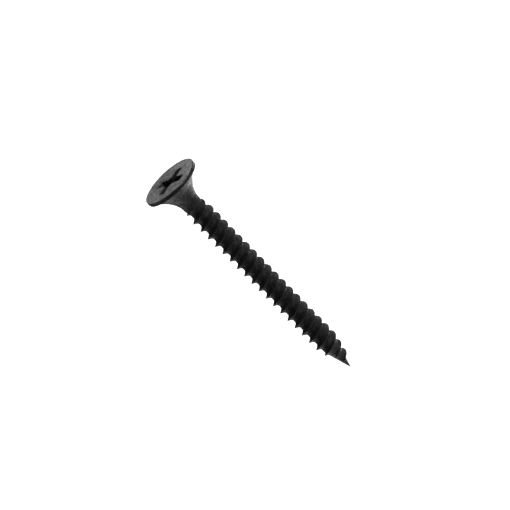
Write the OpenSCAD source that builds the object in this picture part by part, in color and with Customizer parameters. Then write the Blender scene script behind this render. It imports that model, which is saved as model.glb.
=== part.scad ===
// Drywall screw: bugle head with a cross recess, right-handed twin-start thread, needle point.
// Origin at the centre of the head's flat top, +Z out of the recess, the shank along -Z.
// The real screw is one piece of steel. Its head, shank, two thread ridges and point are
// separate closed solids here, and they meet face to face.

/* [Screw] */
// Overall length, from the head's flat top to the tip of the point
screw_length = 35; // [28:0.5:55]
// Diameter across the thread's crests
major_d = 3.4; // [3.2:0.05:3.7]
// Diameter of the steel between the thread's ridges
root_d = 2.2; // [2:0.05:2.4]

/* [Head] */
// Diameter of the head across its rim
head_d = 8; // [7.6:0.1:8.4]
// Depth of the rim, from the flat top to where the flare starts
rim_depth = 0.6; // [0.4:0.05:0.8]
// Radius of the rounding on the rim's upper and lower edges
rim_round = 0.12; // [0.05:0.01:0.15]
// Width of the step under the rim, in to the top of the flare
rim_step = 0.3; // [0.2:0.05:0.5]
// Depth of the whole head, from the flat top to the foot of the flare
head_depth = 4.35; // [4:0.05:5]
// Diameter of the neck at the foot of the flare
neck_d = 2.65; // [2.5:0.05:2.8]
// How sharply the flare opens towards the rim, where 1 is a plain cone
flare_power = 2.1; // [1.8:0.1:2.4]

/* [Drive] */
// Width of the cross recess from arm end to arm end, at the flat top
recess_w = 4.8; // [4.4:0.1:5]
// Width of the recess at the foot of its arms
recess_foot_w = 2.2; // [2:0.1:2.4]
// Depth of the recess's arms
recess_depth = 2.4; // [2.2:0.1:2.5]
// Thickness of an arm at the flat top
arm_t = 1.1; // [1:0.05:1.2]
// Thickness of an arm at its foot
arm_foot_t = 0.8; // [0.7:0.05:0.9]
// Width across the flats of the square pocket where the arms cross, at the flat top
pocket_w = 2; // [1.8:0.1:2.2]
// Width across the flats of that pocket at the foot of the arms
pocket_foot_w = 1.35; // [1.2:0.05:1.5]
// Angle of the arms about the screw's axis
recess_turn = 35; // [0:5:90]

/* [Thread] */
// Distance that each ridge climbs in one turn
thread_lead = 2.79; // [2.6:0.01:3]
// Width of a full ridge where it meets the root
ridge_w = 0.85; // [0.7:0.05:0.95]
// Width of the narrow flat on a ridge's crest
crest_w = 0.05; // [0.04:0.01:0.12]
// How hollow the ridge's flanks are, where 1 is straight
flank_power = 1.05; // [1:0.05:1.4]
// Angle of the first ridge about the axis, carried up to the level of the head's top
thread_phase = 285; // [0:1:359]
// Length over which a ridge grows out of the neck
runout_length = 1.4; // [1:0.1:2.5]

/* [Point] */
// Length of the tapered point, over which the root shrinks to the tip
point_length = 3.8; // [3.5:0.1:4.6]
// Diameter of the needle's blunted tip
tip_d = 0.1; // [0.06:0.01:0.14]
// Distance from the tip at which the crests start to taper
crest_taper_length = 5; // [4.6:0.1:6]
// Diameter that the crests' taper would have at the very tip
crest_tip_d = 1.4; // [1:0.05:1.5]
// Distance from the tip at which the first ridge ends
first_end = 1; // [0.9:0.1:1.6]
// Distance from the tip at which the second ridge ends
second_end = 2.3; // [1.8:0.1:3]
// Angle over which a ridge fades out at the point
fade_angle = 150; // [60:10:180]

/* [Hidden] */
phosphate_black = [0.17, 0.175, 0.18];

head_r = head_d / 2;
neck_r = neck_d / 2;
root_r = root_d / 2;
major_r = major_d / 2;
tip_r = tip_d / 2;
flare_top_r = head_r - rim_step;

over = 1;                  // how far a cutting shape runs past the face that it opens
round_facets = 96;         // facets of the turned shapes in a preview mesh
flare_steps = 18;          // bands of the flare's curve
rim_steps = 4;             // steps of each rounded edge of the rim
pocket_cone_angle = 28;    // slope of the recess's shallow bottom cone

neck_length = 0.75;         // cone from the neck down to the root
shank_end = screw_length - point_length;

ridge_facets = 36;         // rings of a ridge in one turn
seat = 1 / cos(180 / ridge_facets);   // lifts a ridge's straight chords clear of the round root
least_rise = 0.05;         // height of a ridge at its two ends
fade_power = 0.6;          // how abruptly a ridge fades out at the point
crest_slope = (major_d - crest_tip_d) / (2 * crest_taper_length);

// A value that goes from a to b as t goes from 0 to 1, and stays at the ends.
function blend(a, b, t) = a + (b - a) * min(1, max(0, t));

// Points on an arc of radius r about a centre, from one angle to another.
function arc(centre, r, from, to, steps) =
    [for (i = [0:steps])
        let (angle = from + (to - from) * i / steps)
        centre + r * [cos(angle), sin(angle)]];

// Radius of the steel under the ridges at a depth below the head's top.
function root_at(depth) =
    depth < shank_end
        ? blend(neck_r, root_r, (depth - head_depth) / neck_length)
        : blend(root_r, tip_r, (depth - shank_end) / (point_length - tip_r));

// Radius of the crests at that depth, before a ridge fades out at the point.
function crest_at(depth) =
    min(blend(neck_r, major_r, (depth - head_depth) / runout_length),
        crest_tip_d / 2 + crest_slope * (screw_length - depth));

// Height of a ridge at that depth, when the ridge ends at last_depth.
function rise_at(depth, last_depth) =
    let (fade_length = thread_lead * fade_angle / 360,
         left = blend(0, 1, (last_depth - depth) / fade_length))
    least_rise + max(0, crest_at(depth) - root_at(depth) - least_rise) * pow(left, fade_power);

// A point of a ridge's section, at an offset along the axis and a share of the ridge's height.
function ridge_point(depth, offset, height) =
    [root_at(depth + offset) * seat + height, depth + offset];

// One closed section of a ridge, from the middle of its seat on the root, round over the crest
// and back to the root. The caps fan out from that first point.
function ridge_section(depth, rise) =
    let (crest = crest_w / 2,
         foot = blend(2 * crest_w, ridge_w / 2, rise / (major_r - root_r)),
         mid = (foot + crest) / 2,
         mid_height = rise * pow(0.5, flank_power))
    [
        ridge_point(depth, 0, 0),
        ridge_point(depth, foot, 0),
        ridge_point(depth, mid, mid_height),
        ridge_point(depth, crest, rise),
        ridge_point(depth, -crest, rise),
        ridge_point(depth, -mid, mid_height),
        ridge_point(depth, -foot, 0)
    ];

// A solid through a list of rings, each with the same number of points.
module skin(rings) {
    count = len(rings[0]);
    last = len(rings) - 1;
    points = [for (ring = rings) each ring];
    sides = [for (i = [0:last - 1], j = [0:count - 1])
        let (k = (j + 1) % count,
             a = i * count + j,
             b = i * count + k,
             c = a + count,
             d = b + count)
        each [[a, b, d], [a, d, c]]];
    caps = [for (j = [1:count - 2])
        each [[0, j + 1, j], [last * count, last * count + j, last * count + j + 1]]];
    polyhedron(points, concat(sides, caps), convexity = 20);
}

// One helical ridge, from the neck down to end_gap short of the tip.
module ridge(start_angle, end_gap) {
    first_depth = head_depth + ridge_w / 4;
    last_depth = screw_length - end_gap;
    rings = ceil((last_depth - first_depth) / thread_lead * ridge_facets);
    skin([for (i = [0:rings])
        let (depth = first_depth + (last_depth - first_depth) * i / rings,
             angle = start_angle - 360 * depth / thread_lead)
        [for (p = ridge_section(depth, rise_at(depth, last_depth)))
            [p.x * cos(angle), p.x * sin(angle), -p.y]]]);
}

// Half outline of the head: flat top, rounded rim, then the flare's curve down to the neck.
function head_outline() =
    let (corner_r = head_r - rim_round,
         flare_depth = head_depth - rim_depth)
    concat(
        [[0, -head_depth], [0, 0]],
        arc([corner_r, -rim_round], rim_round, 90, 0, rim_steps),
        arc([corner_r, rim_round - rim_depth], rim_round, 0, -90, rim_steps),
        [for (i = [0:flare_steps])
            let (t = i / flare_steps)
            [neck_r + (flare_top_r - neck_r) * pow(1 - t, flare_power), -rim_depth - flare_depth * t]]
    );

// A slot right across the recess, with walls that lean in towards the foot.
module leaning_slot(top_w, foot_w) {
    lean = (top_w - foot_w) / 2 / recess_depth;
    deep = recess_depth + over;
    rotate([90, 0, 90])
        linear_extrude(height = recess_w, center = true)
            polygon([
                [-top_w / 2 - lean * over, over],
                [top_w / 2 + lean * over, over],
                [top_w / 2 - lean * deep, -deep],
                [-top_w / 2 + lean * deep, -deep]
            ]);
}

// The hollow of the cross recess: two crossed arms and a square pocket, all inside a cone
// that narrows to the foot and ends in a shallow bottom cone.
module cross_recess() {
    foot_r = recess_foot_w / 2;
    lean = (recess_w / 2 - foot_r) / recess_depth;
    bottom = recess_depth + foot_r * tan(pocket_cone_angle);
    intersection() {
        rotate_extrude($fn = round_facets)
            polygon([
                [0, -bottom],
                [foot_r, -recess_depth],
                [recess_w / 2 + lean * over, over],
                [0, over]
            ]);
        union() {
            leaning_slot(arm_t, arm_foot_t);
            rotate(90)
                leaning_slot(arm_t, arm_foot_t);
            rotate(45)
                intersection() {
                    leaning_slot(pocket_w, pocket_foot_w);
                    rotate(90)
                        leaning_slot(pocket_w, pocket_foot_w);
                }
        }
    }
}

module bugle_head() {
    color(phosphate_black)
        difference() {
            rotate_extrude($fn = round_facets)
                polygon(head_outline());
            rotate(recess_turn)
                cross_recess();
        }
}

module shank() {
    color(phosphate_black)
        rotate_extrude($fn = round_facets)
            polygon([
                [0, -head_depth],
                [neck_r, -head_depth],
                [root_r, -head_depth - neck_length],
                [root_r, -shank_end],
                [0, -shank_end]
            ]);
}

module first_thread() {
    color(phosphate_black)
        ridge(thread_phase, first_end);
}

module second_thread() {
    color(phosphate_black)
        ridge(thread_phase + 180, second_end);
}

module point() {
    color(phosphate_black)
        rotate_extrude($fn = round_facets)
            polygon([
                [0, -shank_end],
                [root_r, -shank_end],
                [tip_r, tip_r - screw_length],
                [0, -screw_length]
            ]);
}

bugle_head();
shank();
first_thread();
second_thread();
point();
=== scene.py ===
import math

import bmesh
import bpy
import numpy as np
from mathutils import Matrix, Vector, noise


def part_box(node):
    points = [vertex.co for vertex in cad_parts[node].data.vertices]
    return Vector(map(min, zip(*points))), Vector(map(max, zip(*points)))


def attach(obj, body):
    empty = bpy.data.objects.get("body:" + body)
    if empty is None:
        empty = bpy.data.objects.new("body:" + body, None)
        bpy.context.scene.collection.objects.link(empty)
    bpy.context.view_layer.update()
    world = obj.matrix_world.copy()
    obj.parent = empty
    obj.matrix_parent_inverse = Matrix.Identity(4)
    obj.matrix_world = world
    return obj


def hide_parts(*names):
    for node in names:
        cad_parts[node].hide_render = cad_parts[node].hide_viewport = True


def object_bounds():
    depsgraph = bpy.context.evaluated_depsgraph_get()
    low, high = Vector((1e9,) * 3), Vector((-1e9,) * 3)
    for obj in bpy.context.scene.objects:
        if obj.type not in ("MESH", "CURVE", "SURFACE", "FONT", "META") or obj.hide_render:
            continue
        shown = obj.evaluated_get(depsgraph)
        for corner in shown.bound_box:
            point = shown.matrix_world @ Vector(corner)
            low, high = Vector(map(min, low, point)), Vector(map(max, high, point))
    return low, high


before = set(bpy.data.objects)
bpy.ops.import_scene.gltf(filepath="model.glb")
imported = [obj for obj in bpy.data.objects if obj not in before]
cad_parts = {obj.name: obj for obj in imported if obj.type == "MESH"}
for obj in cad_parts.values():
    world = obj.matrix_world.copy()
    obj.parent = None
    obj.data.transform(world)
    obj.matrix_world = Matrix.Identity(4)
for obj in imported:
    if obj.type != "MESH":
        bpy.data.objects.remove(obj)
cad_low, cad_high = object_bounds()

# The screw's meshes are built in millimetres, with the head's flat top at z = 0, and scaled at the
# end. The stage, the lights and the camera are in metres.
# "Depth" is the distance below that top, along -Z.
MM = 0.001


# ---------------------------------------------------------------- sizes

def box_mm(node):
    """Lowest and highest corner of a CAD node, in millimetres."""
    low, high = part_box(node)
    return low / MM, high / MM


head_low, head_high = box_mm("bugle_head")
shank_low, shank_high = box_mm("shank")
thread_low, thread_high = box_mm("first_thread")
point_low, point_high = box_mm("point")

SCREW_LENGTH = -point_low.z
HEAD_R = head_high.x
HEAD_DEPTH = -head_low.z
NECK_R = shank_high.x
ROOT_R = point_high.x
MAJOR_R = max(thread_high.x, thread_high.y, -thread_low.x, -thread_low.y)
SHANK_END = -shank_low.z
POINT_LENGTH = SCREW_LENGTH - SHANK_END

# Sizes that the frame's boxes don't hold, in millimetres. They are the CAD part's, except that the
# rim is rounded less (RIM_ROUND) and the recess is wider (RECESS_R and POCKET_HALF).
RIM_DEPTH = 0.6
RIM_ROUND = 0.06
RIM_STEP = 0.3
FLARE_POWER = 2.1
NECK_LENGTH = 0.75
TIP_R = 0.05

LEAD = 2.79
STARTS = 2
PITCH = LEAD / STARTS
THREAD_PHASE = math.radians(285)
RIDGE_HALF = 0.425
FLANK_POWER = 1.05
RUNOUT_LENGTH = 1.4
CREST_TIP_R = 0.7
CREST_TAPER = 5
RIDGE_END = (1.0, 2.3)   # how far short of the tip each ridge ends
FADE_TURN = 150          # degrees over which a ridge fades out there
FADE_LENGTH = LEAD * FADE_TURN / 360
FADE_POWER = 0.6

RECESS_TURN = math.radians(35)
RECESS_R = 2.45
RECESS_FOOT_R = 1.1
RECESS_DEPTH = 2.4
ARM_HALF = 0.55
ARM_FOOT_HALF = 0.4
POCKET_HALF = 1.1
POCKET_FOOT_HALF = 0.675
RECESS_CONE = math.radians(28)

# Softness of the rolled thread, which the CAD part leaves sharp: the rounding of a crest in
# millimetres, and that of a ridge's foot as a share of the ridge's height.
CREST_ROUND = 0.006
ROOT_FILLET = 0.10

# Tolerances in millimetres: where a plane cuts, which points are one, and which lie on the cut.
CUT_TOLERANCE = 1e-6
WELD = 1e-5
ON_CUT = 1e-4

AXIS_GUARD = 0.1         # mm, the least radius that a shift along the radius is divided by
NOISE_FALLOFF = 1.0      # how much weaker each octave of grain is, and how much finer
NOISE_STEP = 2.0


# ---------------------------------------------------------------- helpers

def ramp(t):
    """t held between 0 and 1."""
    return np.clip(t, 0, 1)


def smooth_ramp(t):
    """t held between 0 and 1, with soft ends."""
    t = ramp(t)
    return t * t * (3 - 2 * t)


def ring_at(radius, z, steps):
    """Points evenly round the axis."""
    turns = [2 * math.pi * i / steps for i in range(steps)]
    return [(radius * math.cos(a), radius * math.sin(a), z) for a in turns]


def new_object(name, points, faces):
    mesh = bpy.data.meshes.new(name)
    mesh.from_pydata([tuple(p) for p in points], [], faces)
    mesh.validate()
    obj = bpy.data.objects.new(name, mesh)
    bpy.context.scene.collection.objects.link(obj)
    return obj


def face_outwards(mesh):
    work = bmesh.new()
    work.from_mesh(mesh)
    bmesh.ops.recalc_face_normals(work, faces=work.faces[:])
    work.to_mesh(mesh)
    work.free()


def apply_modifiers(obj):
    """Replaces the object's mesh with what its modifiers make of it."""
    graph = bpy.context.evaluated_depsgraph_get()
    made = bpy.data.meshes.new_from_object(obj.evaluated_get(graph))
    obj.modifiers.clear()
    obj.data = made


def coordinates(mesh):
    co = np.empty(len(mesh.vertices) * 3, np.float32)
    mesh.vertices.foreach_get("co", co)
    return co.reshape(-1, 3).astype(float)


def set_coordinates(mesh, co):
    mesh.vertices.foreach_set("co", co.astype(np.float32).ravel())
    mesh.update()


def vertex_normals(mesh):
    normals = np.empty(len(mesh.vertices) * 3, np.float32)
    mesh.vertex_normals.foreach_get("vector", normals)
    return normals.reshape(-1, 3).astype(float)


def edge_ends(mesh):
    ends = np.empty(len(mesh.edges) * 2, np.int32)
    mesh.edges.foreach_get("vertices", ends)
    return ends.reshape(-1, 2)


def neighbour_mean(values, ends):
    """Mean of the neighbours' values at each vertex."""
    count = len(values)
    degree = np.bincount(ends.ravel(), minlength=count).astype(float)
    columns = values.reshape(count, -1).T
    sums = [np.bincount(ends[:, 0], column[ends[:, 1]], count)
            + np.bincount(ends[:, 1], column[ends[:, 0]], count) for column in columns]
    return (np.array(sums) / degree).T.reshape(values.shape)


def soften(values, ends, rounds, share=0.5):
    for _ in range(rounds):
        values = values + share * (neighbour_mean(values, ends) - values)
    return values


def edge_measure(mesh, rounds):
    """The sum of both curvatures at each vertex, in 1/mm: 2 / R on a ball of radius R, and
    negative in a hollow."""
    co = coordinates(mesh)
    ends = edge_ends(mesh)
    dip = ((co - neighbour_mean(co, ends)) * vertex_normals(mesh)).sum(1)
    gap = np.linalg.norm(co[ends[:, 0]] - co[ends[:, 1]], axis=1)
    total = np.bincount(ends.ravel(), np.repeat(gap, 2), len(co))
    size = total / np.bincount(ends.ravel(), minlength=len(co))
    return soften(4 * dip / size ** 2, ends, rounds)


def grain(points, size, octaves=1):
    """Smooth noise of about -1 to 1 at each point, with features of a given size."""
    return np.array([
        noise.fractal(Vector(p) / size, NOISE_FALLOFF, NOISE_STEP, octaves) for p in points])


def store(mesh, name, values):
    """Keeps a value at each vertex for the material to read."""
    layer = mesh.attributes.new(name, "FLOAT", "POINT")
    layer.data.foreach_set("value", values.astype(np.float32))


def store_place(mesh, name, places):
    """Keeps a place at each vertex, in metres, for the material to read."""
    layer = mesh.attributes.new(name, "FLOAT_VECTOR", "POINT")
    layer.data.foreach_set("vector", (places * MM).astype(np.float32).ravel())


def turned_lay(points, across):
    """Places that are drawn out round the axis, for the marks that run with the turn."""
    turn = np.arctan2(points[:, 1], points[:, 0])
    return np.stack([np.cos(turn) * LAY_STRETCH, np.sin(turn) * LAY_STRETCH, across], -1)


def cut_level(work, depth, keep_below):
    """Cuts a bmesh at a depth and returns the edges of the cut's rim."""
    found = bmesh.ops.bisect_plane(
        work,
        geom=work.verts[:] + work.edges[:] + work.faces[:],
        dist=CUT_TOLERANCE,
        plane_co=(0, 0, -depth),
        plane_no=(0, 0, 1),
        clear_outer=keep_below,
        clear_inner=not keep_below)
    return [e for e in found["geom_cut"] if isinstance(e, bmesh.types.BMEdge)]


def close_with_point(work, edges, tip):
    """Closes a rim with a fan of triangles to one point."""
    centre = work.verts.new(tip)
    for e in edges:
        work.faces.new((*e.verts, centre))


def finish_surface(work, mesh):
    """Shades the surface smooth up to the sharp edge of the flat hidden cut at the neck."""
    bmesh.ops.recalc_face_normals(work, faces=work.faces[:])
    for f in work.faces:
        f.smooth = True
    for e in work.edges:
        e.smooth = any(abs(v.co.z + HEAD_DEPTH) > ON_CUT for v in e.verts)
    work.to_mesh(mesh)
    work.free()


# ---------------------------------------------------------------- outline of the screw

def flare_at(depth):
    """Radius of the head's flare."""
    t = ramp((depth - RIM_DEPTH) / (HEAD_DEPTH - RIM_DEPTH))
    return NECK_R + (HEAD_R - RIM_STEP - NECK_R) * (1 - t) ** FLARE_POWER


def root_at(depth):
    """Radius of the steel between the ridges, with the flare above it. The neck narrows in a soft
    curve, where the CAD part has a straight cone with the same ends."""
    neck = NECK_R + (ROOT_R - NECK_R) * smooth_ramp((depth - HEAD_DEPTH) / NECK_LENGTH)
    cone = ROOT_R + (TIP_R - ROOT_R) * ramp((depth - SHANK_END) / (POINT_LENGTH - TIP_R))
    steel = np.where(depth < SHANK_END, neck, cone)
    return np.where(depth < HEAD_DEPTH, flare_at(depth), steel)


def crest_at(depth):
    """Radius of the crests, before a ridge fades out at the point."""
    grown = NECK_R + (MAJOR_R - NECK_R) * ramp((depth - HEAD_DEPTH) / RUNOUT_LENGTH)
    slope = (MAJOR_R - CREST_TIP_R) / CREST_TAPER
    return np.minimum(grown, CREST_TIP_R + slope * (SCREW_LENGTH - depth))


# ---------------------------------------------------------------- threaded shank

TURN_STEPS = 120         # columns of the sheet in one turn
OFFSET_STEPS = 22        # rows of the sheet from one crest to the next
OFFSET_POWER = 2.0       # how much closer the rows lie near a crest
LEAST_SHARE = 0.15       # share of the full height below which a ridge grows no narrower
SHEET_TOP = 1.0          # mm below the head's top where the sheet starts, before it is cut
SHEET_PAST = 0.3         # mm that it runs past the tip

CREST_WAVE = 0.015       # mm that the crests wander in and out, and the size of those waves
CREST_WAVE_SIZE = 1.6
SKIN_WAVE = 0.012        # the same for the whole skin
SKIN_WAVE_SIZE = 0.35
CALM_TIP = 2             # mm over which all that dies out towards the tip
NICKS = 70               # small dents along the crests, and their least and most size and depth
NICK_SIZE = (0.08, 0.24)
NICK_DEEP = (0.015, 0.07)
NICK_FROM = 0.9          # share of the full height above which a nick may sit
SEED = 7

CREST_RUB = 0.01         # how far the coat is rubbed off the crests
CREST_RUB_FROM = 0.85    # share of the full height where that starts, and over how much it grows
CREST_RUB_OVER = 0.15
GROOVE_SHADE = 0.5          # how far painted shade darkens the grooves, and the share of the height it reaches
GROOVE_SHADE_TOP = 0.5
POINT_RUB = 0.13         # how far the coat is rubbed off the pinched point, and how smooth that is
POINT_GLOSS = 0.3
LAY_STRETCH = 0.4        # mm, radius that every turn counts as in the marks that run with it
LAY_OUTWARD = 2          # how fast the thread's marks change outwards, and along the axis
LAY_ALONG = 0.05


def row_offsets():
    """Offsets along the axis from one crest to the next, packed closer near both."""
    t = np.arange(OFFSET_STEPS) / OFFSET_STEPS * 2
    near = np.where(t <= 1, t, 2 - t) ** OFFSET_POWER
    return np.where(t <= 1, near, 2 - near) * PITCH / 2


def ridge_shape(away):
    """Share of a ridge's height at a distance along the axis from its crest."""
    away = np.sqrt(away ** 2 + CREST_ROUND ** 2) - CREST_ROUND
    left = 1 - away / RIDGE_HALF
    left = (left + np.sqrt(left ** 2 + ROOT_FILLET ** 2)) / 2
    top = (1 + math.sqrt(1 + ROOT_FILLET ** 2)) / 2
    return (left / top) ** FLANK_POWER


def thread_sheet():
    """The threaded surface as a sheet wound along the thread: columns follow the turn, and rows
    cross both ridges. Returns its points, and how far up a full ridge each one is."""
    offsets = np.concatenate([row_offsets() + k * PITCH for k in range(STARTS)])
    from_crest = offsets - np.round(offsets / PITCH) * PITCH
    ridge = np.round(offsets / PITCH).astype(int) % STARTS
    first = int(SHEET_TOP / LEAD * TURN_STEPS)
    last = int((SCREW_LENGTH + SHEET_PAST) / LEAD * TURN_STEPS)
    column = np.arange(first, last)[:, None]
    depth = column * LEAD / TURN_STEPS + offsets
    angle = THREAD_PHASE - 2 * math.pi * column / TURN_STEPS
    crest_depth = depth - from_crest
    end = SCREW_LENGTH - np.array(RIDGE_END)[ridge]
    fade = ramp((end - crest_depth) / FADE_LENGTH) ** FADE_POWER
    height = np.maximum(crest_at(crest_depth) - root_at(crest_depth), 0) * fade
    share = ramp(height / (MAJOR_R - ROOT_R))
    up = ridge_shape(from_crest / np.maximum(share, LEAST_SHARE))
    radius = root_at(depth) + height * up
    points = np.stack([radius * np.cos(angle), radius * np.sin(angle), -depth], -1)
    return points, up * share


def wound_faces(columns, rows):
    """Quads of the wound sheet, where the last row of one turn meets the first row of the next."""
    faces = []
    for i in range(columns - 1):
        here = i * rows
        beside = here + rows
        for j in range(rows - 1):
            faces.append((here + j, beside + j, beside + j + 1, here + j + 1))
        k = i + TURN_STEPS
        if k + 1 < columns:
            faces.append((here + rows - 1, beside + rows - 1, (k + 1) * rows, k * rows))
    return faces


def roughen_thread(points, up):
    """Adds the unevenness of rolled steel: wandering crests, an uneven skin and small nicks."""
    flat = points.reshape(-1, 3)
    high = up.ravel()
    depth = -flat[:, 2]
    outward = flat * (1, 1, 0)
    outward /= np.linalg.norm(outward, axis=1)[:, None]
    level = ramp((depth - HEAD_DEPTH) / RUNOUT_LENGTH) * ramp((SCREW_LENGTH - depth) / CALM_TIP)
    lift = CREST_WAVE * high ** 2 * grain(flat, CREST_WAVE_SIZE)
    lift += SKIN_WAVE * grain(flat, SKIN_WAVE_SIZE, 2)
    rng = np.random.default_rng(SEED)
    crest_index = np.flatnonzero(high > NICK_FROM)
    for place in rng.choice(crest_index, NICKS, replace=False):
        size = rng.uniform(*NICK_SIZE)
        near = np.exp(-((flat - flat[place]) ** 2).sum(1) / size ** 2)
        lift -= rng.uniform(*NICK_DEEP) * near
    return (flat + outward * (lift * level)[:, None]).reshape(points.shape)


def in_thread(depth):
    """Share, from 0 above the thread and at the point to 1 between full ridges."""
    below_head = smooth_ramp((depth - HEAD_DEPTH) / RUNOUT_LENGTH)
    above_point = smooth_ramp((SHANK_END - depth) / PITCH)
    return below_head * above_point


def store_thread_wear_and_shade(mesh, flat, high):
    """Keeps where the thread's coat is rubbed, where painted shade darkens the grooves, and the lay
    that the thread dies leave.
    """
    depth = -flat[:, 2]
    at_point = smooth_ramp((depth - SHANK_END) / PITCH)
    on_crest = ramp((high - CREST_RUB_FROM) / CREST_RUB_OVER)
    in_groove = 1 - smooth_ramp(high / GROOVE_SHADE_TOP)
    across = np.hypot(flat[:, 0], flat[:, 1]) * LAY_OUTWARD + flat[:, 2] * LAY_ALONG
    store(mesh, "edge", np.maximum(CREST_RUB * on_crest, POINT_RUB * at_point))
    store(mesh, "gloss", POINT_GLOSS * at_point)
    # Painted shade: the grooves between the ridges are darkened, most at their roots.
    store(mesh, "hollow", GROOVE_SHADE * in_groove * in_thread(depth))
    store_place(mesh, "lay", turned_lay(flat, across))


def make_threaded_shank():
    points, up = thread_sheet()
    flat = roughen_thread(points, up).reshape(-1, 3)
    obj = new_object("threaded_shank", flat, wound_faces(*up.shape))
    store_thread_wear_and_shade(obj.data, flat, up.ravel())
    work = bmesh.new()
    work.from_mesh(obj.data)
    close_with_point(work, cut_level(work, HEAD_DEPTH, True), (0, 0, -HEAD_DEPTH))
    close_with_point(work, cut_level(work, SCREW_LENGTH - TIP_R, False), (0, 0, -SCREW_LENGTH))
    bmesh.ops.remove_doubles(work, verts=work.verts[:], dist=WELD)
    finish_surface(work, obj.data)
    return obj


# ---------------------------------------------------------------- bugle head

HEAD_SEGMENTS = 256      # facets round the head, along the flare, and on a rounding or an arm's end
FLARE_STEPS = 48
ROUND_STEPS = 8
VOXEL = 0.048            # mm, size of the cells that the cut head is rebuilt from
NECK_SPARE = 0.5         # mm of neck made below the cut, so that the cut isn't rounded off
SOFTEN_ROUNDS = 2        # rounds of softening after the rebuild
TRUE_FROM = 1.2          # mm of depth where the flare starts to be put back on its curve
TRUE_OVER = 0.8          # mm of depth over which that grows
CLEAR_DEPTH = RECESS_DEPTH + 1   # depth below which the recess has surely ended

RECESS_SHIFT = (0.07, -0.17)     # mm that the recess sits off the axis
CUTTER_OVER = 0.4        # mm that its cutter runs past the top
CUTTER_TIP = 0.02        # share of its size that the cutter narrows to at the bottom
DIP_DEEP = 0.16          # mm that the top sinks at the recess's edge, and how far out that reaches
DIP_REACH = 0.30
DIP_NEAR = 0.15          # share of that sinking left on the side where the punch pulled away
DIP_TURN = 1.5           # mm across the axis over which it goes from one side to the other

RIM_WAVE = 0.03          # mm that the rim wanders in and out, and the size of those waves
RIM_WAVE_SIZE = 2.2
RIM_WAVE_TALL = (1, 1, 0.2)      # the waves are stretched along the axis
RIM_WAVE_INWARD = 0.7    # share by which they are set inwards, to stay inside the CAD's box
RIM_WAVE_POWER = 3       # how fast they die out from the rim to the neck
FORGE_WAVE = 0.018       # the same for the whole skin
FORGE_WAVE_SIZE = 0.55
FORGE_WAVE_INWARD = 0.6
HOLD_LENGTH = 1.0        # mm over which that dies out towards the neck, where the pieces meet
BEVEL_AT = math.radians(-70)     # where the top's edge is knocked down, and how far round
BEVEL_SPREAD = math.radians(17)
BEVEL_DEEP = 0.23        # mm that it is knocked down there, and how far in that reaches
BEVEL_WIDE = 0.70

EDGE_ROUNDS = 2          # rounds of softening for the measure of the edges
EDGE_SHARP = 4.0         # 1/mm, bend of a fully rubbed edge
EDGE_RUB = 0.10          # how far the coat is rubbed off it
RECESS_SHADE = 1.0        # how far painted shade darkens the recess, and the depth in mm where that is full
RECESS_SHADE_DEPTH = 1.1
RECESS_CLEAR = 0.2       # mm past the arms' reach, beyond which nothing counts as in the recess
RIM_SHADE = 0.85          # how far painted shade darkens the side of the rim
RIM_SHADE_IN = 0.12       # mm in from the rim's radius where that starts, and over how much it grows
RIM_SHADE_OVER = 0.06
RIM_SHADE_EDGE = 0.05     # mm of depth that it starts below the top, and runs on below the rim

# Polish of the flat top: its level, then how much more there is to the right and to the left, with
# the place in mm where that starts and over how much it grows, and one duller patch.
TOP_GLOSS = 0.3
RIGHT_GLOSS = (1.3, 0.2, 3.8)
LEFT_GLOSS = (0.5, 1.8, 1.5)
DULL_SHARE = 0.5
DULL_AT = (-1.5, 1.6)
DULL_SIZE = 1.3


def arc(centre_r, centre_z, r, start, stop, steps):
    """Points (radius, z) on an arc from one angle to another, both in degrees."""
    angles = np.radians(np.linspace(start, stop, steps + 1))
    return [(centre_r + r * math.cos(a), centre_z + r * math.sin(a)) for a in angles]


def head_outline():
    """Half outline of the head as (radius, z), from the top's edge to the spare neck's foot."""
    corner = HEAD_R - RIM_ROUND
    outline = arc(corner, -RIM_ROUND, RIM_ROUND, 90, 0, ROUND_STEPS)
    outline += arc(corner, RIM_ROUND - RIM_DEPTH, RIM_ROUND, 0, -90, ROUND_STEPS)
    depths = np.linspace(RIM_DEPTH, HEAD_DEPTH, FLARE_STEPS + 1)
    outline += [(float(flare_at(depth)), -depth) for depth in depths]
    outline.append((NECK_R, -HEAD_DEPTH - NECK_SPARE))
    return outline


def stack_rings(name, rings):
    """A closed solid through a list of rings, each with the same number of points."""
    count = len(rings[0])
    last = (len(rings) - 1) * count
    faces = [tuple(range(count)), tuple(last + i for i in range(count))]
    for start in range(0, last, count):
        for i in range(count):
            j = (i + 1) % count
            faces.append((start + i, start + j, start + count + j, start + count + i))
    obj = new_object(name, [p for ring in rings for p in ring], faces)
    face_outwards(obj.data)
    return obj


def head_blank():
    return stack_rings("screw_head", [ring_at(r, z, HEAD_SEGMENTS) for r, z in head_outline()])


def cross_ring(depth, shrink=1):
    """Outline of the cross recess at a depth: four round-ended arms, with the pocket between."""
    t = min(depth / RECESS_DEPTH, 1)
    half = (ARM_HALF + (ARM_FOOT_HALF - ARM_HALF) * t) * shrink
    reach = (RECESS_R + (RECESS_FOOT_R - RECESS_R) * t) * shrink
    pocket = (POCKET_HALF + (POCKET_FOOT_HALF - POCKET_HALF) * t) * shrink
    corner = pocket * math.sqrt(2) - half
    swing = math.asin(half / reach)
    angles = np.linspace(-swing, swing, ROUND_STEPS)
    arm = [(corner, -half)]
    arm += [(reach * math.cos(a), reach * math.sin(a)) for a in angles]
    arm += [(corner, half)]
    off_x, off_y = RECESS_SHIFT
    ring = []
    for k in range(4):
        c = math.cos(RECESS_TURN + k * math.pi / 2)
        s = math.sin(RECESS_TURN + k * math.pi / 2)
        ring += [(x * c - y * s + off_x, x * s + y * c + off_y, -depth) for x, y in arm]
    return ring


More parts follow.
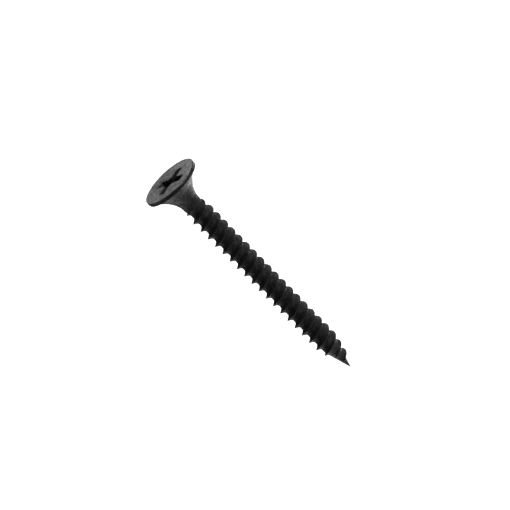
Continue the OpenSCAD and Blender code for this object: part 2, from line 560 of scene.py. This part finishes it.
def recess_cutter():
    """The hollow of the recess: leaning walls, and a shallow cone at the bottom."""
    bottom = RECESS_DEPTH + RECESS_FOOT_R * math.tan(RECESS_CONE)
    return stack_rings("recess_cutter", [
        cross_ring(-CUTTER_OVER),
        cross_ring(RECESS_DEPTH),
        cross_ring(bottom, CUTTER_TIP)])


def recess_distance(x, y):
    """Distance on the flat top from the recess's outline, negative inside it."""
    x = x - RECESS_SHIFT[0]
    y = y - RECESS_SHIFT[1]
    c = math.cos(RECESS_TURN)
    s = math.sin(RECESS_TURN)
    along = np.abs(x * c + y * s)
    across = np.abs(y * c - x * s)
    arm_one = np.maximum(along - RECESS_R, across - ARM_HALF)
    arm_two = np.maximum(across - RECESS_R, along - ARM_HALF)
    pocket = (along + across) / math.sqrt(2) - POCKET_HALF
    return np.minimum(np.minimum(arm_one, arm_two), pocket)


def roughen_head(mesh):
    """Adds what forging leaves: a top drawn down into the recess, and a rim not quite round."""
    co = coordinates(mesh)
    normals = vertex_normals(mesh)
    depth = -co[:, 2]
    radius = np.hypot(co[:, 0], co[:, 1])
    turn = np.arctan2(co[:, 1], co[:, 0])
    on_top = smooth_ramp((RIM_DEPTH - depth) / RIM_DEPTH)
    away = np.maximum(recess_distance(co[:, 0], co[:, 1]), 0)
    far_side = DIP_NEAR + (1 - DIP_NEAR) * smooth_ramp(0.5 + co[:, 1] / DIP_TURN)
    co[:, 2] -= DIP_DEEP * far_side * np.exp(-away / DIP_REACH) * on_top
    bevel = np.exp(-((turn - BEVEL_AT) / BEVEL_SPREAD) ** 2)
    bevel *= ramp((radius - HEAD_R + BEVEL_WIDE) / BEVEL_WIDE)
    co[:, 2] -= BEVEL_DEEP * bevel * on_top
    at_rim = ramp((radius - NECK_R) / (HEAD_R - NECK_R)) ** RIM_WAVE_POWER
    wander = RIM_WAVE * (grain(co * RIM_WAVE_TALL, RIM_WAVE_SIZE) - RIM_WAVE_INWARD) * at_rim
    co[:, :2] *= (1 + wander / np.maximum(radius, AXIS_GUARD))[:, None]
    hold = smooth_ramp((HEAD_DEPTH - depth) / HOLD_LENGTH)
    skin = FORGE_WAVE * (grain(co, FORGE_WAVE_SIZE, 2) - FORGE_WAVE_INWARD) * hold
    co += normals * skin[:, None]
    co[:, 2] = np.minimum(co[:, 2], 0)
    set_coordinates(mesh, co)


def true_up_flare(mesh):
    """Puts the lower flare and the neck back on their exact curve after the rebuild. Above
    CLEAR_DEPTH all that lies further out than half the recess's reach counts as flare. The lower
    walls of the recess's arms are among that, so they are drawn out as far as the flare too, and
    cross it there."""
    co = coordinates(mesh)
    depth = -co[:, 2]
    radius = np.hypot(co[:, 0], co[:, 1])
    outer = (radius > RECESS_R / 2) | (depth > CLEAR_DEPTH)
    share = smooth_ramp((depth - TRUE_FROM) / TRUE_OVER) * outer
    wanted = np.where(depth < HEAD_DEPTH, flare_at(depth), NECK_R)
    co[:, :2] *= (1 + share * (wanted / np.maximum(radius, AXIS_GUARD) - 1))[:, None]
    set_coordinates(mesh, co)


def side_gloss(reach, amount, start, over):
    """Polish that grows towards one side of the top."""
    return amount * smooth_ramp((reach - start) / over)


def top_gloss(x, y):
    """Polish of the flat top."""
    sides = side_gloss(x, *RIGHT_GLOSS) + side_gloss(-x, *LEFT_GLOSS)
    dull = np.exp(-((x - DULL_AT[0]) ** 2 + (y - DULL_AT[1]) ** 2) / DULL_SIZE ** 2)
    return TOP_GLOSS + sides - DULL_SHARE * dull


def under_recess(x, y):
    """Whether a point lies under the recess's outline on the flat top. It goes by x and y alone, so
    parts of the flare's outer side count too, and get the recess's painted shade as well."""
    return (np.hypot(x, y) < RECESS_R + RECESS_CLEAR) & (recess_distance(x, y) < 0)


def store_head_wear_and_shade(mesh):
    """Keeps where the head's coat is rubbed, where painted shade darkens the recess and the side of
    the rim, and the turned lay of its surface.
    """
    co = coordinates(mesh)
    x, y, z = co.T
    depth = -z
    radius = np.hypot(x, y)
    on_top = smooth_ramp((RIM_DEPTH - depth) / RIM_DEPTH)
    # Painted shade: darker deeper in the recess.
    recess_shade = RECESS_SHADE * smooth_ramp(depth / RECESS_SHADE_DEPTH) * under_recess(x, y)
    # Painted shade: a darker band on the side of the rim.
    on_rim = ramp((radius - HEAD_R + RIM_SHADE_IN) / RIM_SHADE_OVER)
    on_rim = on_rim * (depth > RIM_SHADE_EDGE) * (depth < RIM_DEPTH + RIM_SHADE_EDGE)
    store(mesh, "edge", EDGE_RUB * ramp(edge_measure(mesh, EDGE_ROUNDS) / EDGE_SHARP))
    store(mesh, "gloss", on_top * top_gloss(x, y))
    store(mesh, "hollow", np.maximum(recess_shade, RIM_SHADE * on_rim))
    store_place(mesh, "lay", turned_lay(co, z + radius))


def make_head():
    obj = head_blank()
    cutter = recess_cutter()
    cut = obj.modifiers.new("cut", "BOOLEAN")
    cut.object = cutter
    cut.operation = "DIFFERENCE"
    cut.solver = "EXACT"
    rebuild = obj.modifiers.new("rebuild", "REMESH")
    rebuild.mode = "VOXEL"
    rebuild.voxel_size = VOXEL
    apply_modifiers(obj)
    bpy.data.objects.remove(cutter)
    set_coordinates(obj.data, soften(coordinates(obj.data), edge_ends(obj.data), SOFTEN_ROUNDS))
    true_up_flare(obj.data)
    roughen_head(obj.data)
    work = bmesh.new()
    work.from_mesh(obj.data)
    close_with_point(work, cut_level(work, HEAD_DEPTH, False), (0, 0, -HEAD_DEPTH))
    finish_surface(work, obj.data)
    store_head_wear_and_shade(obj.data)
    return obj


# ---------------------------------------------------------------- materials

# Colours of the coat: oily black phosphate, its paler crystals, steel where the coat is rubbed, and
# the painted shade in the grooves, the recess and on the side of the rim.
DARK_COAT = (0.006, 0.0063, 0.0062, 1)
PALE_COAT = (0.052, 0.054, 0.053, 1)
RUBBED = (0.30, 0.30, 0.295, 1)
SHADE_COLOUR = (0.006, 0.006, 0.006, 1)

# Sizes in metres of the patches, specks and crystals in the coat, and of the marks dies leave.
PATCH_SIZE = 0.0011
SPECK_SIZE = 0.00030
CRYSTAL_SIZE = 0.00007
DRAW_SIZE = 0.00016

# Relief of the coat in metres, and how much of the specks' relief the crystals and marks have.
RELIEF = 0.00012
CRYSTAL_SHARE = 0.15
DRAW_SHARE = 0.15
FULL_GLOSS = 1.5         # polish at which only GLOSSY_RELIEF of that relief is left
GLOSSY_RELIEF = 0.4
NOISE_ROUGHNESS = 0.6    # how much of each noise its finer octaves have

# Shares of patches and specks in the mottle, and the span of it from the dark coat to the pale.
PATCH_SHARE = 0.45
SPECK_SHARE = 0.55
MOTTLE_SPAN = (0.36, 0.64)

# The wear that shows on low and on high specks, and the span of the specks that goes with it.
WORN_SPAN = (0.40, 0.62)
WORN_SHOWS = (0.4, 1.0)

# Roughness where the specks and patches are low and where they are high, with the span of their
# sum, and how much smoother full wear makes it. Then how much smoother full polish makes it on low
# and on high specks, with their span.
ROUGH_SPAN = (0.8, 1.2)
ROUGHNESS = (0.68, 0.44)
WORN_SMOOTH = 0.2
POLISH_SPAN = (0.40, 0.60)
POLISH = (0.05, 0.35)


def add_node(tree, kind, inputs=None, **settings):
    """A new node with its settings and input values, and with links for inputs that are sockets."""
    node = tree.nodes.new(kind)
    for name, value in settings.items():
        setattr(node, name, value)
    for name, value in (inputs or {}).items():
        if isinstance(value, bpy.types.NodeSocket):
            tree.links.new(value, node.inputs[name])
        else:
            node.inputs[name].default_value = value
    return node


def noise_at(tree, place, size, detail):
    node = add_node(tree, "ShaderNodeTexNoise", {
        "Vector": place,
        "Scale": 1 / size,
        "Detail": detail,
        "Roughness": NOISE_ROUGHNESS})
    return node.outputs["Fac"]


def remap(tree, value, low, high, to_low=0.0, to_high=1.0):
    """A value stretched so that low to high becomes to_low to to_high."""
    node = add_node(tree, "ShaderNodeMapRange", {
        "Value": value,
        "From Min": low,
        "From Max": high,
        "To Min": to_low,
        "To Max": to_high}, clamp=True)
    return node.outputs["Result"]


def calc(tree, operation, first, second):
    node = add_node(tree, "ShaderNodeMath", {0: first, 1: second}, operation=operation)
    return node.outputs["Value"]


def blend_colours(tree, share, first, second):
    """A mix of two colours. This node's sockets share names, so they are found by their place."""
    sockets = {0: share, 6: first, 7: second}
    node = add_node(tree, "ShaderNodeMix", sockets, data_type="RGBA")
    return node.outputs[2]


def attribute(tree, name):
    return add_node(tree, "ShaderNodeAttribute", attribute_name=name)


def worn_share(tree, edge, speck):
    """How far the coat is worn through, where the high specks go first."""
    return calc(tree, "MULTIPLY", edge, remap(tree, speck, *WORN_SPAN, *WORN_SHOWS))


def mottled_coat(tree, patch, speck):
    """Colour of the coat where it is whole."""
    patches = calc(tree, "MULTIPLY", patch, PATCH_SHARE)
    specks = calc(tree, "MULTIPLY", speck, SPECK_SHARE)
    mottle = calc(tree, "ADD", patches, specks)
    return blend_colours(tree, remap(tree, mottle, *MOTTLE_SPAN), DARK_COAT, PALE_COAT)


def coat_roughness(tree, patch, speck, worn, gloss):
    rough = remap(tree, calc(tree, "ADD", speck, patch), *ROUGH_SPAN, *ROUGHNESS)
    rough = calc(tree, "SUBTRACT", rough, calc(tree, "MULTIPLY", worn, WORN_SMOOTH))
    polish = remap(tree, speck, *POLISH_SPAN, *POLISH)
    return calc(tree, "SUBTRACT", rough, calc(tree, "MULTIPLY", gloss, polish))


def coat_relief(tree, speck, crystal, drawn, gloss):
    """Bumps of the specks, crystals and marks, which the polish flattens."""
    height = calc(tree, "ADD", speck, calc(tree, "MULTIPLY", crystal, CRYSTAL_SHARE))
    height = calc(tree, "ADD", height, calc(tree, "MULTIPLY", drawn, DRAW_SHARE))
    height = calc(tree, "MULTIPLY", height, remap(tree, gloss, 0, FULL_GLOSS, 1, GLOSSY_RELIEF))
    bump = add_node(tree, "ShaderNodeBump", {
        "Height": height,
        "Strength": 1.0,
        "Distance": RELIEF})
    return bump.outputs["Normal"]


def black_phosphate():
    """Dull black phosphate: mottled and crystalline, rubbed on sharp edges, with painted shade in
    the grooves, the recess and on the rim's side.
    """
    mat = bpy.data.materials.new("black_phosphate_visual")
    mat.use_nodes = True
    tree = mat.node_tree
    place = add_node(tree, "ShaderNodeTexCoord").outputs["Object"]
    lay = attribute(tree, "lay").outputs["Vector"]
    edge = attribute(tree, "edge").outputs["Fac"]
    hollow = attribute(tree, "hollow").outputs["Fac"]
    gloss = attribute(tree, "gloss").outputs["Fac"]
    patch = noise_at(tree, place, PATCH_SIZE, 3)
    speck = noise_at(tree, place, SPECK_SIZE, 3)
    crystal = noise_at(tree, place, CRYSTAL_SIZE, 2)
    drawn = noise_at(tree, lay, DRAW_SIZE, 2)

    colour = mottled_coat(tree, patch, speck)
    worn = worn_share(tree, edge, speck)
    colour = blend_colours(tree, worn, colour, RUBBED)
    # Painted shade: darker in the thread's grooves, deeper in the recess and on the side of the
    # rim.
    colour = blend_colours(tree, hollow, colour, SHADE_COLOUR)

    shader = tree.nodes["Principled BSDF"]
    tree.links.new(colour, shader.inputs["Base Color"])
    tree.links.new(coat_roughness(tree, patch, speck, worn, gloss), shader.inputs["Roughness"])
    tree.links.new(coat_relief(tree, speck, crystal, drawn, gloss), shader.inputs["Normal"])
    return mat


def finish_piece(obj, coat, *nodes):
    """Scales a piece to metres, coats it and ties it to the frame."""
    obj.data.transform(Matrix.Scale(MM, 4))
    obj.data.materials.clear()
    obj.data.materials.append(coat)
    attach(obj, "root")
    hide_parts(*nodes)


coat = black_phosphate()
finish_piece(make_head(), coat, "bugle_head")
finish_piece(make_threaded_shank(), coat, "shank", "first_thread", "second_thread", "point")


# ---------------------------------------------------------------- floor

STAGE_R = 0.9            # metres from the screw to the edge of the floor
STAGE_STEPS = 96         # points round that edge
DOME_RINGS = 12          # rings of the dome, which stops short of its top
STAGE_COLOUR = (0.9, 0.9, 0.9, 1)
WHITE = (1, 1, 1, 1)


def stage_white():
    paint = bpy.data.materials.new("stage_white")
    paint.use_nodes = True
    shader = paint.node_tree.nodes["Principled BSDF"]
    shader.inputs["Base Color"].default_value = STAGE_COLOUR
    shader.inputs["Emission Color"].default_value = WHITE
    shader.inputs["Emission Strength"].default_value = 1.0
    return paint


def make_stage():
    """A plain white floor under the point, and a white dome round it as the backdrop. They light
    nothing and throw no shadow, so that the lights alone shape the screw."""
    ground = cad_low.z
    rim = ring_at(STAGE_R, ground, STAGE_STEPS)
    floor = new_object("floor", rim, [tuple(range(STAGE_STEPS))])
    rises = [math.pi / 2 * i / DOME_RINGS for i in range(DOME_RINGS)]
    dome = stack_rings("backdrop", [
        ring_at(STAGE_R * math.cos(rise), ground + STAGE_R * math.sin(rise), STAGE_STEPS)
        for rise in rises])
    paint = stage_white()
    for obj in (floor, dome):
        obj.data.materials.append(paint)
        obj.visible_diffuse = False
        obj.visible_glossy = False
        obj.visible_shadow = False


make_stage()

# ---------------------------------------------------------------- light

LIGHT_AWAY = 0.4         # metres from the screw to each light
FILL = 0.07              # strength of the even light from everywhere

# Each soft light's name, its azimuth from behind the screw round to the right, its elevation, half
# the angle that it spans, all in degrees, and its strength.
LIGHTS = (
    ("overhead", 10, 50, 30, 1.7),
    ("low_far", 25, -35, 25, 2.1),
    ("right", 120, 10, 30, 1.0),
    ("below", 40, -75, 45, 0.9),
    ("low_left", -70, -45, 25, 0.7))


def make_light(name, azimuth, elevation, half_angle, strength):
    """A round soft light that faces the screw. Its power gives the same light at any distance."""
    turn = math.radians(azimuth)
    rise = math.radians(elevation)
    level = math.cos(rise)
    direction = Vector((math.sin(turn) * level, math.cos(turn) * level, math.sin(rise)))
    radius = LIGHT_AWAY * math.tan(math.radians(half_angle))
    data = bpy.data.lights.new(name, "AREA")
    data.shape = "DISK"
    data.size = 2 * radius
    data.energy = strength * math.pi * (LIGHT_AWAY ** 2 + radius ** 2)
    light = bpy.data.objects.new(name, data)
    bpy.context.scene.collection.objects.link(light)
    light.location = (cad_low + cad_high) / 2 + direction * LIGHT_AWAY
    light.rotation_euler = direction.to_track_quat("Z", "Y").to_euler()
    light.visible_camera = False


for settings in LIGHTS:
    make_light(*settings)

world = bpy.data.worlds.new("studio")
world.use_nodes = True
world.node_tree.nodes["Background"].inputs["Color"].default_value = WHITE
world.node_tree.nodes["Background"].inputs["Strength"].default_value = FILL
bpy.context.scene.world = world
bpy.context.scene.view_settings.view_transform = "Standard"

# ---------------------------------------------------------------- camera

# The camera looks down on the head by TILT. It is rolled, so the point lies to the lower right.
TILT = math.radians(19.2)
ROLL = math.radians(44.3)
FRAME_WIDTH = 0.06487    # metres across the picture at the screw
LENS = 450               # mm, a long lens with hardly any perspective, and its sensor's width
SENSOR = 36
CLIP_NEAR = 0.1          # nearest and furthest that it sees, as shares of its distance
CLIP_FAR = 20
AIM_RIGHT = -0.00070     # metres from the screw's middle to the picture's middle
AIM_UP = 0.00248


def make_camera():
    back = Vector((0, -math.cos(TILT), math.sin(TILT)))
    level = Vector((1, 0, 0))
    steep = Vector((0, math.sin(TILT), math.cos(TILT)))
    right = math.cos(ROLL) * level - math.sin(ROLL) * steep
    up = math.sin(ROLL) * level + math.cos(ROLL) * steep
    distance = FRAME_WIDTH * LENS / SENSOR
    data = bpy.data.cameras.new("camera")
    data.lens = LENS
    data.sensor_width = SENSOR
    data.clip_start = distance * CLIP_NEAR
    data.clip_end = distance * CLIP_FAR
    camera = bpy.data.objects.new("camera", data)
    bpy.context.scene.collection.objects.link(camera)
    placed = Matrix((right, up, back)).transposed().to_4x4()
    middle = (cad_low + cad_high) / 2
    placed.translation = middle + AIM_RIGHT * right + AIM_UP * up + distance * back
    camera.matrix_world = placed
    bpy.context.scene.camera = camera


make_camera()
